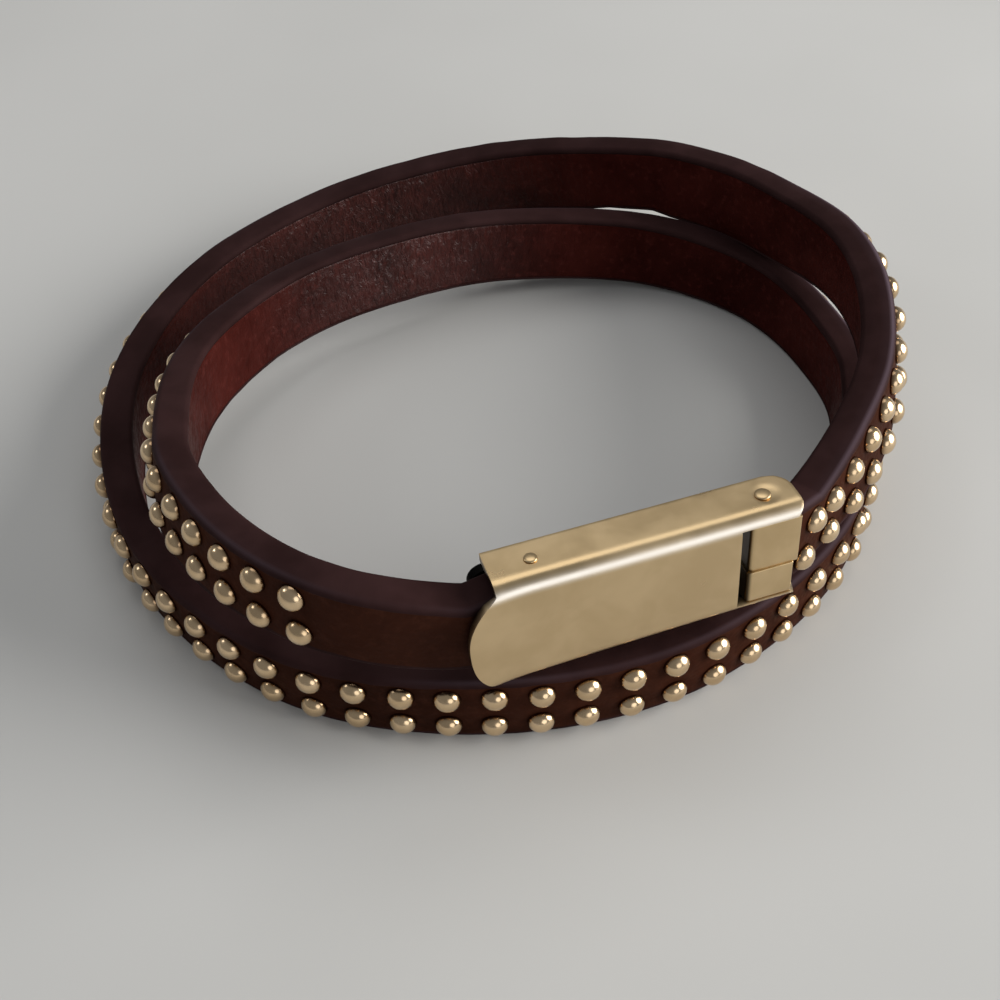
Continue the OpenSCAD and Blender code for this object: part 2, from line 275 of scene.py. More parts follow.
def arc(cx, cy, r, start, end, steps):
    a = np.radians(np.linspace(start, end, steps))
    return np.column_stack([cx + r * np.cos(a), cy + r * np.sin(a)])


def ring_faces(rings, width):
    """Quads between closed rings of points, each ring joined to the next."""
    faces = []
    for i in range(rings - 1):
        for j in range(width):
            k = (j + 1) % width
            faces.append((i * width + j, i * width + k, (i + 1) * width + k, (i + 1) * width + j))
    return faces


def tube_faces(rings, width):
    """Quads between closed rings of points, with both ends closed."""
    start = tuple(range(width - 1, -1, -1))
    end = tuple((rings - 1) * width + j for j in range(width))
    return ring_faces(rings, width) + [start, end]


def along_strap(outline, s):
    """Lengths along the strap and places outwards and across, a row of the outline for each s."""
    shape = (len(s), len(outline))
    v, w = (np.broadcast_to(outline[:, k], shape).copy() for k in (0, 1))
    return np.broadcast_to(s[:, None], shape), v, w


def swept(s, v, w):
    """Points of a closed outline (v outwards, w across, one row for each place s along the strap)."""
    middle, outwards, across = strap_frames(s)
    points = middle[:, None] + v[..., None] * outwards[:, None] + w[..., None] * across[:, None]
    points[..., 2] = np.maximum(points[..., 2], LOWEST)
    return points.reshape(-1, 3)


def make_piece(name, points, faces, material, attributes):
    """A smooth shaded mesh object from points in millimetres of the row frame."""
    mesh = bpy.data.meshes.new(name)
    mesh.from_pydata((np.asarray(points) * MM).tolist(), [], faces)
    mesh.polygons.foreach_set("use_smooth", [True] * len(mesh.polygons))
    for key, values in attributes.items():
        values = np.asarray(values, np.float32)
        wide = values.ndim == 2
        layer = mesh.attributes.new(key, "FLOAT_VECTOR" if wide else "FLOAT", "POINT")
        layer.data.foreach_set("vector" if wide else "value", values.ravel())
    mesh.materials.append(material)
    mesh.update()
    piece = bpy.data.objects.new(name, mesh)
    bpy.context.scene.collection.objects.link(piece)
    return piece


def face_outwards(piece, welded=False):
    """Turns all faces outwards, after points in one place are joined if it is to be welded."""
    work = bmesh.new()
    work.from_mesh(piece.data)
    if welded:
        bmesh.ops.remove_doubles(work, verts=work.verts, dist=SAME_POINT)
        bmesh.ops.dissolve_degenerate(work, edges=work.edges, dist=SAME_POINT)
    bmesh.ops.recalc_face_normals(work, faces=work.faces)
    work.to_mesh(piece.data)
    work.free()


def add_bevel(piece, width, segments=3):
    bevel = piece.modifiers.new("bevel", "BEVEL")
    bevel.width = width * MM
    bevel.segments = segments
    bevel.limit_method = "ANGLE"
    bevel.angle_limit = math.radians(35)
    bevel.harden_normals = False
    normals = piece.modifiers.new("normals", "WEIGHTED_NORMAL")
    normals.keep_sharp = False


def declare(piece, body, node):
    """Says which body the piece rides on and the node that it stands for."""
    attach(piece, body)
    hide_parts(node)


# Materials


def rgb(r, g, b):
    return (r, g, b, 1.0)


class Shader:
    """A material whose nodes are added one by one."""

    def __init__(self, name, **constants):
        self.material = bpy.data.materials.new(name)
        self.material.use_nodes = True
        self.tree = self.material.node_tree
        self.surface = self.tree.nodes["Principled BSDF"]
        for key, value in constants.items():
            self.surface.inputs[key.replace("_", " ")].default_value = value
        self.place = self.add("ShaderNodeTexCoord").outputs["Object"]

    def add(self, kind, settings=(), inputs=()):
        """A new node; each input is a constant or another node's output."""
        made = self.tree.nodes.new(kind)
        for key, value in dict(settings).items():
            setattr(made, key, value)
        for key, value in dict(inputs).items():
            if isinstance(value, bpy.types.NodeSocket):
                self.tree.links.new(value, made.inputs[key])
            else:
                made.inputs[key].default_value = value
        return made

    def attribute(self, name, output="Fac"):
        return self.add("ShaderNodeAttribute", {"attribute_name": name}).outputs[output]

    def noise(self, scale, detail=2.0, roughness=0.5, place=None, distortion=0.0):
        made = self.add("ShaderNodeTexNoise", (), {
            "Vector": place or self.place, "Scale": scale, "Detail": detail,
            "Roughness": roughness, "Distortion": distortion})
        return made.outputs["Fac"]

    def cells(self, scale):
        made = self.add("ShaderNodeTexVoronoi", (), {"Vector": self.place, "Scale": scale})
        return made.outputs["Distance"]

    def scaled(self, place, factors):
        made = self.add("ShaderNodeVectorMath", {"operation": "MULTIPLY"}, {0: place, 1: factors})
        return made.outputs["Vector"]

    def maths(self, operation, a, b):
        made = self.add("ShaderNodeMath", {"operation": operation}, {0: a, 1: b})
        return made.outputs["Value"]

    def span(self, value, low, high, to_low=0.0, to_high=1.0):
        """The value's range from low to high, stretched to another range."""
        made = self.add("ShaderNodeMapRange", {"interpolation_type": "SMOOTHSTEP"}, {
            "Value": value, "From Min": low, "From Max": high, "To Min": to_low, "To Max": to_high})
        return made.outputs["Result"]

    def varied(self, scale, detail, roughness, low=0.0, high=1.0):
        """Noise that goes softly from low to high."""
        return self.span(self.noise(scale, detail, roughness), 0.3, 0.7, low, high)

    def mix(self, amount, a, b):
        made = self.add("ShaderNodeMix", {"data_type": "RGBA"}, {0: amount, 6: a, 7: b})
        return made.outputs[2]

    def drive(self, key, value):
        """Links a value to an input of the surface."""
        self.tree.links.new(value, self.surface.inputs[key])

    def relief(self, *layers):
        """Bumps of (height, strength, depth in millimetres), each on top of the last."""
        normal = None
        for height, strength, depth in layers:
            inputs = {"Height": height, "Strength": strength, "Distance": depth * MM}
            if normal:
                inputs["Normal"] = normal
            normal = self.add("ShaderNodeBump", (), inputs).outputs["Normal"]
        self.drive("Normal", normal)


def strap_material():
    """Brown grained leather on the outer face, matt paint on the edges, with a painted sheen along the rim.
    """
    m = Shader("strap_leather", Specular_IOR_Level=0.015)
    painted = m.maths("ADD", m.attribute("edge"), m.span(m.noise(500, 3), 0.2, 0.8, -0.12, 0.12))
    painted = m.span(painted, 0.42, 0.58)
    specks = m.span(m.noise(900, 3, 0.7), 0.45, 0.75, 0.0, 0.4)
    face = m.mix(m.varied(70, 4, 0.6), rgb(0.027, 0.0088, 0.005), rgb(0.045, 0.014, 0.0075))
    face = m.mix(specks, face, rgb(0.07, 0.024, 0.014))
    paint = m.mix(m.varied(160, 3, 0.6), rgb(0.025, 0.0112, 0.0108), rgb(0.038, 0.0175, 0.0172))
    # painted sheen: the rim's pale purple stands in for light caught on the corner of the painted edge
    paint = m.mix(m.attribute("rim"), paint, rgb(0.11, 0.08, 0.098))
    m.drive("Base Color", m.mix(painted, face, paint))
    m.drive("Roughness", m.varied(220, 4, 0.6, 0.46, 0.62))
    grain = m.maths("MULTIPLY", m.cells(1900), m.maths("SUBTRACT", 1.0, painted))
    m.relief((m.noise(1100, 4, 0.65), 0.45, 0.05), (grain, 0.5, 0.05))
    return m.material


def lining_material():
    """Reddish leather with painted shade in its creases, glossy where it is creased most."""
    m = Shader("lining_leather")
    unrolled, creased = m.attribute("unrolled", "Vector"), m.attribute("creased")
    specks = m.span(m.noise(1500, 2, 0.6), 0.5, 0.8, 0.0, 0.4)
    base = m.mix(m.varied(110, 4, 0.65), rgb(0.029, 0.0044, 0.003), rgb(0.064, 0.0118, 0.0088))
    base = m.mix(specks, base, rgb(0.12, 0.027, 0.022))
    # painted shade: darker colour in the creases
    base = m.mix(m.maths("MULTIPLY", m.attribute("crease"), 0.5), base, rgb(0.014, 0.0026, 0.0018))
    m.drive("Base Color", base)
    m.drive("Roughness", m.varied(1300, 3, 0.7, 0.28, 0.5))
    m.drive("Specular IOR Level", m.span(creased, 0.3, 1.0, 0.015, 0.4))
    pucker = m.noise(1.0, 4, 0.65, m.scaled(unrolled, (1.9, 0.75, 1.0)), 0.8)
    m.relief((m.noise(1500, 3, 0.7), 0.6, 0.06), (m.maths("MULTIPLY", pucker, creased), 1.0, 0.42))
    return m.material


def stud_material():
    """Polished pale gold, with painted shade towards a stud's foot."""
    m = Shader("stud_metal", Metallic=1.0)
    metal = m.mix(m.varied(300, 3, 0.6), rgb(0.64, 0.46, 0.27), rgb(0.78, 0.585, 0.37))
    # painted shade: darker towards the foot, where the stud meets the leather
    m.drive("Base Color", m.mix(m.attribute("foot"), metal, rgb(0.2, 0.11, 0.055)))
    m.drive("Roughness", m.span(m.noise(1400, 3, 0.6), 0.3, 0.75, 0.17, 0.26))
    m.relief((m.noise(900, 2, 0.5), 0.3, 0.025))
    return m.material


def clasp_material():
    """Satin pale gold with smudges, a painted highlight along the fold and painted shade on the inner
    surfaces.
    """
    m = Shader("clasp_metal", Metallic=1.0)
    local, fold = m.attribute("local", "Vector"), m.attribute("fold")
    smudge = m.noise(0.22, 3, 0.55, local, 0.4)
    metal = m.mix(m.span(smudge, 0.35, 0.7), rgb(0.6, 0.435, 0.235), rgb(0.68, 0.505, 0.285))
    # painted highlight along the fold
    metal = m.mix(fold, metal, rgb(0.88, 0.82, 0.73))
    # painted shade on the inner surfaces of lever and cap
    m.drive("Base Color", m.mix(m.attribute("inside"), metal, rgb(0.05, 0.034, 0.019)))
    m.drive("Roughness", m.maths("ADD", m.span(smudge, 0.3, 0.7, 0.27, 0.36), m.maths("MULTIPLY", fold, 0.1)))
    brushed = m.noise(1.0, 3, 0.6, m.scaled(local, (0.8, 9.0, 9.0)))
    m.relief((brushed, 0.15, 0.01), (m.noise(0.4, 2, 0.5, local), 0.35, 0.05))
    return m.material


def dark_material():
    """Near-black metal."""
    m = Shader("dark_metal", Specular_IOR_Level=0.04)
    m.drive("Base Color", m.mix(m.varied(500, 3, 0.5), rgb(0.001, 0.0008, 0.0007), rgb(0.003, 0.0025, 0.002)))
    m.drive("Roughness", m.varied(700, 3, 0.5, 0.5, 0.7))
    m.relief((m.noise(1500, 3), 0.3, 0.03))
    return m.material


def floor_material():
    m = Shader("floor_paint", Roughness=0.8, Specular_IOR_Level=0.2)
    m.drive("Base Color", m.mix(m.varied(14, 3, 0.5), rgb(0.575, 0.57, 0.55), rgb(0.615, 0.61, 0.59)))
    return m.material


# Strap: leather band with painted edges that fold over the lining's rim

HALF_W = STRAP_W / 2
OUTER_V = STRAP_T / 2
INNER_V = -STRAP_T / 2
POCKET_V = STRAP_T / 2 - BAND_T  # bottom of the pocket that the lining lies in
STRAP_STEP = 0.3  # length between two rings of points
FACE_POINTS = 25  # points across the outer face
FACE_CROWN = 0.08
OUTER_ROUND = 0.58
LIP_ROUND = 0.45
LOW_OUTER_ROUND = 0.35
LOW_LIP_ROUND = 0.14
LIP_W = 0.6
LOW_LIP_W = 0.2
EDGE_BULGE = 0.02  # how far a painted edge stands out between its corners
DIMPLE_DEPTH = 0.07
DIMPLE_W = 0.8  # how far a dimple reaches from its stud
FACE_SWELL = 0.02  # unevenness of the outer face
PAINT_SWELL = 0.045  # unevenness of the hand painted edges
SWELL_W = 0.9  # how far it goes in from an edge
PAINT_W, LEATHER_W = 0.35, 0.75  # distances from an edge where paint ends and bare leather starts
RIM_SHEEN_ANGLE = -5.0  # where the painted sheen on the rim is brightest, in degrees round the wrap
RIM_SHEEN_SPREAD = 42.0
# Angle round both turns in degrees, extra width of the lower edge there in millimetres
EDGE_REACH = [
    (-60, -0.2), (-42, -0.2), (-32, 0), (0, 0), (15, 0.45), (28, 0.65), (45, 0.5), (53, 0.4), (57, 0),
    (66, 0), (71, 0.25), (95, 0.25), (110, 0), (520, 0), (538, 0.7), (560, 0.85), (580, 0.85), (600, 0),
]
REACH_BLEND = (0.5, 2.6)  # distances below the strap's middle between which the extra width sets in


def widened(s, w):
    """Places across the strap, with a lower edge that reaches further where the turns nearly touch."""
    extra = np.interp(turned(s), *zip(*EDGE_REACH))[:, None]
    return w - extra * smooth_step(-w, *REACH_BLEND)


def crown(w):
    """How far the outer face bulges at a place across the strap."""
    flat = HALF_W - OUTER_ROUND
    return FACE_CROWN * np.clip(1 - (w / flat) ** 2, 0, 1)


def edge_outline(outer_round, lip_round, lip_w):
    """The strap's upper edge from the outer face over the edge and the lip into the pocket."""
    return np.vstack([
        arc(OUTER_V - outer_round, HALF_W - outer_round, outer_round, 0, 90, 7)[1:],
        [[0.1, HALF_W + EDGE_BULGE], [-0.4, HALF_W + EDGE_BULGE]],
        arc(INNER_V + lip_round, HALF_W - lip_round, lip_round, 90, 180, 6),
        [[INNER_V + 0.1, HALF_W - lip_w - 0.06], [POCKET_V, HALF_W - lip_w - 0.08]],
    ])


def strap_outline():
    """Closed outline from the outer face over the upper edge, the pocket and the lower edge."""
    face_w = np.linspace(-HALF_W + LOW_OUTER_ROUND, HALF_W - OUTER_ROUND, FACE_POINTS)
    face = np.column_stack([OUTER_V + crown(face_w), face_w])
    lower = edge_outline(LOW_OUTER_ROUND, LOW_LIP_ROUND, LOW_LIP_W)[::-1] * (1, -1)
    return np.vstack([face, edge_outline(OUTER_ROUND, LIP_ROUND, LIP_W), lower])


def dimples(s, w):
    """Depth of the leather pressed in round each stud."""
    i = np.clip(np.round((s - first_s) / STUD_PITCH), 0, stud_count - 1)
    from_stud = np.hypot(s - (first_s + i * STUD_PITCH), np.abs(w) - (HALF_W - ROW_MARGIN))
    return DIMPLE_DEPTH * (1 - smooth_step(from_stud, STUD_D / 2, STUD_D / 2 + DIMPLE_W))


def painted_rim_sheen(s, grid_s, v, w):
    """Painted sheen: a lighter line along the outer corner of the upper edge, brightest where light falls on
    it most.
    """
    corner = bell(np.hypot(v - OUTER_V + 0.3, np.abs(w) - HALF_W + 0.12), 0, 0.2)
    most = bell(angle_from(turned(s), RIM_SHEEN_ANGLE), 0, RIM_SHEEN_SPREAD)[:, None]
    sheen = 0.12 + 0.75 * most + 0.2 * value_noise(grid_s * 0.09, np.sign(w), 9)
    return np.clip(corner * sheen * (w > 0), 0, 1)


def make_strap(material):
    s = np.linspace(0, strap_l, int(strap_l / STRAP_STEP))
    grid_s, v, w = along_strap(strap_outline(), s)
    is_face = np.arange(v.shape[1]) < FACE_POINTS
    v -= np.where(is_face, dimples(grid_s, w), 0)
    on_edge = smooth_step(np.abs(w), HALF_W - SWELL_W, HALF_W)
    swell = PAINT_SWELL * value_noise(grid_s * 0.55, v * 0.3 + np.sign(w) * 7, 3)
    w += np.sign(w) * on_edge * swell
    v += np.where(is_face, FACE_SWELL * value_noise(grid_s * 0.7, w * 0.9, 5), 0)
    edge = smooth_step(np.abs(w), HALF_W - LEATHER_W, HALF_W - PAINT_W)
    edge = np.where(is_face | (v > 0), edge, 1.0)
    # the rim attribute carries the painted sheen along the upper edge's corner
    piece = make_piece("strap", swept(s, v, widened(s, w)), tube_faces(*v.shape), material, {
        "edge": edge.ravel(), "rim": painted_rim_sheen(s, grid_s, v, w).ravel()})
    declare(piece, "bracelet", "strap_band")


# Lining with its creases

LINING_STEP = 0.18
LINING_SHORT = 0.05  # how far the lining stops before the strap's ends
LINING_POINTS = 32  # points across its face
LINING_TOP = HALF_W - LIP_W - 0.02
LINING_LOW = HALF_W - LOW_LIP_W - 0.02
WRINKLE_ANGLE = 118.0  # middle of the most creased part, in degrees round the wrap
WRINKLE_SPREAD = 40.0


def creasing(angle):
    """How creased the lining is at an angle round the wrap, from 0 to 1."""
    return 0.22 + 0.78 * bell(angle_from(angle, WRINKLE_ANGLE), 0, WRINKLE_SPREAD)


def wrinkles(s, w):
    """Raised leather between creases that run across the strap, and how deep each crease is."""
    slant = s + 0.45 * w + 0.5 * value_noise(s * 0.3, w * 0.5, 11)
    broad = value_noise(slant * 0.42, w * 0.16, 21)
    fine = value_noise(slant * 1.5, w * 0.6, 22)
    finest = value_noise(slant * 2.4, w * 1.5, 23)
    crease = (1 - np.abs(fine)) ** 6 * smooth_step(value_noise(s * 0.6, w * 0.5, 24), -0.2, 0.7)
    return 0.05 * broad + 0.06 * fine + 0.05 * finest - 0.07 * crease, crease


def lining_outline():
    """Closed outline from the upper corner over the face, the lower corner and the back."""
    face_w = np.linspace(LINING_TOP - 0.08, -LINING_LOW + 0.08, LINING_POINTS)
    corner_v, back_v = INNER_V + 0.12, POCKET_V - LINING_GAP
    return np.vstack([
        [[corner_v, LINING_TOP]],
        np.column_stack([np.full(LINING_POINTS, INNER_V), face_w]),
        [[corner_v, -LINING_LOW], [back_v, -LINING_LOW], [back_v, LINING_TOP]],
    ])


def make_lining(material):
    s = np.linspace(LINING_SHORT, strap_l - LINING_SHORT, int(strap_l / LINING_STEP))
    grid_s, v, w = along_strap(lining_outline(), s)
    height, crease = wrinkles(grid_s, w)
    creased = creasing(turned(s))[:, None] + 0 * w
    from_rim = np.minimum(LINING_TOP - w, w + LINING_LOW)
    is_face = v < INNER_V + 0.01
    raised = creased * height * smooth_step(from_rim, 0.1, 0.6)
    pressed_line = 0.06 * bell(from_rim, 0.42, 0.11)
    settled = 0.05 * (1 - smooth_step(from_rim, 0.05, 0.3))
    v += np.where(is_face, 0.03 - raised + pressed_line + settled, 0)
    # the crease attribute carries the painted shade in the creases
    piece = make_piece("lining", swept(s, v, widened(s, w)), tube_faces(*v.shape), material, {
        "crease": np.where(is_face, creased * crease, 0).ravel(), "creased": creased.ravel(),
        "unrolled": np.stack([grid_s, w, 0 * w], -1).reshape(-1, 3)})
    face_outwards(piece)
    declare(piece, "bracelet", "strap_lining")


# Studs

STUD_SIDES = 24
STUD_FOOT = 0.14  # how deep a stud's foot goes below the dome
STUD_SEAT = 0.06  # how far the dome itself sits in the leather
STUD_SHIFT = 0.035  # usual distance of a stud from its even place
STUD_TILT = 0.025
ROW_SPLAY = 0.05  # how far each row leans away from the other


def stud_profile():
    """Radius and height of a domed stud from its foot in the leather to just below its top."""
    t = np.radians(np.linspace(0, 90, 11))[:-1]
    dome = np.column_stack([STUD_D / 2 * np.cos(t), STUD_RISE * np.sin(t)])
    return np.vstack([[[STUD_D / 2 * 0.93, -STUD_FOOT]], dome])


def stud_mesh():
    """Points and faces of one stud that stands on z = 0."""
    profile = stud_profile()
    around = np.radians(np.arange(STUD_SIDES) * 360 / STUD_SIDES)
    ring = np.column_stack([np.cos(around), np.sin(around)])
    points = [np.append(radius * q, height) for radius, height in profile for q in ring]
    points.append([0, 0, STUD_RISE])
    top = (len(profile) - 1) * STUD_SIDES
    faces = ring_faces(len(profile), STUD_SIDES)
    faces += [(top + j, top + (j + 1) % STUD_SIDES, len(points) - 1) for j in range(STUD_SIDES)]
    faces.append(tuple(range(STUD_SIDES - 1, -1, -1)))
    return np.array(points), faces


def stud_place(i, side, rng):
    """Foot of a stud and its three directions, a little off the even place and upright."""
    shift = rng.normal(0, STUD_SHIFT, 2)
    tilt = rng.normal(0, STUD_TILT, 2)
    s = np.array([first_s + i * STUD_PITCH + shift[0]])
    middle, outwards, across = (a[0] for a in strap_frames(s))
    w = side * (HALF_W - ROW_MARGIN) + shift[1]
    up = unit(outwards + (tilt[0] + ROW_SPLAY * side) * across + tilt[1] * np.cross(outwards, across))
    right = unit(across - up * (across @ up))
    foot = middle + w * across + (OUTER_V + float(crown(w)) - STUD_SEAT) * outwards
    return foot, np.array([right, -np.cross(right, up), up])


def make_studs(name, first, last, node, material, rng):
    one, one_faces = stud_mesh()
    # painted shade, strongest at a stud's foot
    shade = 1 - smooth_step(one[:, 2], 0.0, STUD_RISE * 0.55)
    points, faces = [], []
    for i in range(first, last):
        for side in (-1, 1):
            foot, directions = stud_place(i, side, rng)
            faces.extend(tuple(len(points) + k for k in face) for face in one_faces)
            points.extend(foot + one @ directions)
    piece = make_piece(name, points, faces, material, {"foot": np.tile(shade, 2 * (last - first))})
    face_outwards(piece)
    declare(piece, "bracelet", node)


# Clasp

LOOK_FOLD = 1.25  # outer radius of the lever's folds
TONGUE_SWAY = 0.45  # how far the tongue's tip curves away from the strap
SWAY_START = 18.0  # distance from the hinge pin where the tongue starts to curve
SWAY_L = 5.2
LOWER_SPREAD = 0.55  # how far the lever widens downwards to its free end
PLATE_BULGE = 0.05
SHEET_SWELL = 0.025  # unevenness of the lever's sheet
HINGE_DIP = 0.06  # how far the sheet is pressed in round the hinge pin's head
DIP_X = 0.35
FOLD_HIGHLIGHT_TURN = 59.0  # where the painted highlight on the fold is brightest, in degrees from the flange to the front
FOLD_HIGHLIGHT_SPREAD = 17.0
# First and last column of cells of each part along the lever
LEVER_PARTS = {"tongue": (0, 12), "plate": (12, 60), "ear": (60, 82)}


def lever_rows():
    """Outer surface of the folded channel from the upper flange's back edge round to the lower one.
    Each row is y, z and the direction that the surface faces there, as (ny, nz)."""
    h = CLASP_H / 2
    fold_y, fold_z = -FRONT_DEPTH + LOOK_FOLD, h - LOOK_FOLD
    slot_turn = math.degrees(math.acos((SLOT_HALF - fold_z) / LOOK_FOLD))
    turns = np.radians(np.concatenate([np.linspace(0, slot_turn, 10), np.linspace(slot_turn, 90, 4)[1:]]))
    flange = [(y, h, 0.0, 1.0) for y in np.linspace(BACK_DEPTH, fold_y, 14)[:-1]]
    fold = [(fold_y - LOOK_FOLD * math.sin(a), fold_z + LOOK_FOLD * math.cos(a), -math.sin(a), math.cos(a))
            for a in turns]
    front = [(-FRONT_DEPTH, z, -1.0, 0.0) for z in np.linspace(fold_z, -fold_z, 19)[1:-1]]
    lower = [(y, -z, ny, -nz) for y, z, ny, nz in (flange + fold)[::-1]]
    return np.array(flange + fold + front + lower)


def lower_drop(x, z):
    """How far the lever's lower half spreads downwards at a place."""
    return LOWER_SPREAD * np.clip(-x / LEVER_L, 0, 1.1) * np.clip(-z / SLOT_HALF, 0, 1)


def tongue_x(z):
    """Where the tongue's round end lies at a height, a little squarer at the bottom."""
    h = CLASP_H / 2
    power = 2.0 if z > 0 else 2.6
    bow = h * (1 - (1 - min(abs(z) / h, 1) ** power) ** (1 / power))
    return min(-LEVER_L - TONGUE_REACH + bow, -LEVER_L)


def ear_x(y):
    """Where the ears' end lies, with a large round on the wrist's side and a small one in front."""
    back_y, front_y = BACK_DEPTH - EAR_ROUND, FOLD_R - FRONT_DEPTH
    if y > back_y:
        return EAR_REACH - EAR_ROUND + math.sqrt(max(EAR_ROUND**2 - (y - back_y) ** 2, 0))
    if y < front_y:
        return EAR_REACH - FOLD_R + math.sqrt(max(FOLD_R**2 - (y - front_y) ** 2, 0))
    return EAR_REACH


def lever_x(part, column, y, z):
    """Place along the lever of a column of points in one of its parts."""
    first, last = LEVER_PARTS[part]
    t = (column - first) / (last - first)
    start, end = {
        "tongue": (tongue_x(z), -LEVER_L), "plate": (-LEVER_L, PLATE_END), "ear": (PLATE_END, ear_x(y)),
    }[part]
    return start * (1 - t) + end * t


def lever_point(x, row, depth):
    """Point of the lever at a depth in its sheet, with the sheet's bulge, dip and curve."""
    y, z, ny, nz = row
    plate = smooth_step(abs(z), SLOT_HALF, SLOT_HALF - 1.6) * smooth_step(x, 0, -6) * (ny < -0.9)
    bulge = PLATE_BULGE * plate
    bulge += SHEET_SWELL * float(value_noise(np.array(x * 0.16), np.array(z * 0.3), 31))
    bulge -= HINGE_DIP * (1 - smooth_step(math.hypot(x - DIP_X, y), 0.5, 1.1)) * (nz > 0.9)
    inwards = depth - bulge
    sway = TONGUE_SWAY * np.clip((-x - SWAY_START) / SWAY_L, 0, 1) ** 1.6 * max(-ny, 0)
    return [x, y - ny * inwards - sway, z - nz * inwards - lower_drop(x, z)]


def lever_cells(rows):
    """Cells of the lever's sheet: the tongue only in front, the ears only on the flanges and folds."""
    cells = []
    for j in range(len(rows) - 1):
        _, z, ny, _ = rows[j:j + 2].T
        skipped = {"tongue": max(ny) >= -0.3, "plate": False, "ear": min(abs(z)) <= SLOT_HALF - 1e-6}
        for part, (first, last) in LEVER_PARTS.items():
            if not skipped[part]:
                cells += [(part, column, j) for column in range(first, last)]
    return cells


def make_lever(material):
    rows = lever_rows()
    points, inside, fold, faces = [], [], [], []
    index, edges = {}, {}

    def vertex(side, part, column, j):
        """Number of the point on the outer (0) or inner side (1) of the sheet."""
        key = (side, column, j)
        if key not in index:
            y, z, ny, nz = rows[j]
            index[key] = len(points)
            points.append(lever_point(lever_x(part, column, y, z), rows[j], SHEET_T * side))
            # painted shade on the sheet's inner side
            inside.append(side)
            # painted highlight on the outer side of the fold
            fold.append(bell(math.degrees(math.atan2(-ny, nz)), FOLD_HIGHLIGHT_TURN, FOLD_HIGHLIGHT_SPREAD) * (side == 0))
        return index[key]

    for part, i, j in lever_cells(rows):
        corners = [(i, j), (i + 1, j), (i + 1, j + 1), (i, j + 1)]
        outer = [vertex(0, part, a, b) for a, b in corners]
        inner = [vertex(1, part, a, b) for a, b in corners]
        faces += [tuple(outer), tuple(inner[::-1])]
        for k in range(4):
            a, b = outer[k], outer[(k + 1) % 4]
            edges.setdefault(frozenset((a, b)), []).append((a, b, inner[k], inner[(k + 1) % 4]))
    # an edge that only one cell has is a rim of the sheet
    faces += [(b, a, c, d) for found in edges.values() if len(found) == 1 for a, b, c, d in found]
    shades = {"local": points, "inside": inside, "fold": fold}
    piece = make_piece("lever", in_clasp(points), faces, material, shades)
    face_outwards(piece, welded=True)
    add_bevel(piece, 0.1)
    declare(piece, "lever", "clasp_lever")


CAP_TOP = SLOT_HALF - 0.17
CAP_FRONT = FRONT_DEPTH - 0.2
CAP_LAP = 0.14  # how far the upper flap stays back from the lower one at the left
CAP_PROUD = 0.13  # how far the lower flap stands before the upper one
CAP_SPLIT = -0.7  # where the lower flap ends
CAP_T = 0.45
CAP_BACK_T = 0.16
CAP_BACK_X = 0.2
CAP_FOLD_R = 0.42
CAP_CORNER = 0.1  # chamfer in the inner corners


def cap_flap(x_low, x_high, z_low, z_high, front):
    """One flap of the cap, folded round the strap's end: front sheet, left fold and back sheet."""
    back, r = BACK_DEPTH - 0.05, CAP_FOLD_R
    to_fold = np.cumprod(np.linspace(1, 0, 7)[:-1])[:, None]  # 1 at the right, closer steps near the fold
    front_sheet = to_fold * [x_high - 0.08, -front] + (1 - to_fold) * [x_low + r, -front]
    inner_x, inner_front, inner_back = x_low + CAP_T, -front + CAP_T, back - CAP_BACK_T
    outline = np.vstack([
        [[x_high, -front + 0.08]], front_sheet,
        arc(x_low + r, -front + r, r, 270, 180, 8), arc(x_low + r, back - r, r, 180, 90, 8),
        [[CAP_BACK_X, back], [CAP_BACK_X, inner_back],
         [inner_x + CAP_CORNER, inner_back], [inner_x, inner_back - CAP_CORNER],
         [inner_x, inner_front + CAP_CORNER], [inner_x + CAP_CORNER, inner_front],
         [x_high, inner_front]],
    ])
    heights = np.linspace(z_low, z_high, 6)
    points = [[x, y, z] for z in heights for x, y in outline]
    return points, tube_faces(len(heights), len(outline))


def make_cap(material):
    points, faces = cap_flap(-CAP_HALF + CAP_LAP, EAR_REACH - 0.2, CAP_SPLIT - 0.02, CAP_TOP, CAP_FRONT)
    lower_points, lower_faces = cap_flap(-CAP_HALF, CAP_HALF, -CAP_TOP, CAP_SPLIT, CAP_FRONT + CAP_PROUD)
    faces += [tuple(k + len(points) for k in face) for face in lower_faces]
    points += lower_points
    # painted shade towards the cap's left fold, which the slot shows
    inside = 1 - smooth_step(np.array(points)[:, 0], -CAP_HALF + 0.12, -CAP_HALF + 0.4)
    piece = make_piece("cap", in_clasp(points), faces, material, {"local": points, "inside": inside})
    face_outwards(piece)
    add_bevel(piece, 0.07)
    declare(piece, "bracelet", "hinge_cap")


PIN_SIDES = 32
HEAD_WALL = 0.06  # height of a pin head's wall below its dome


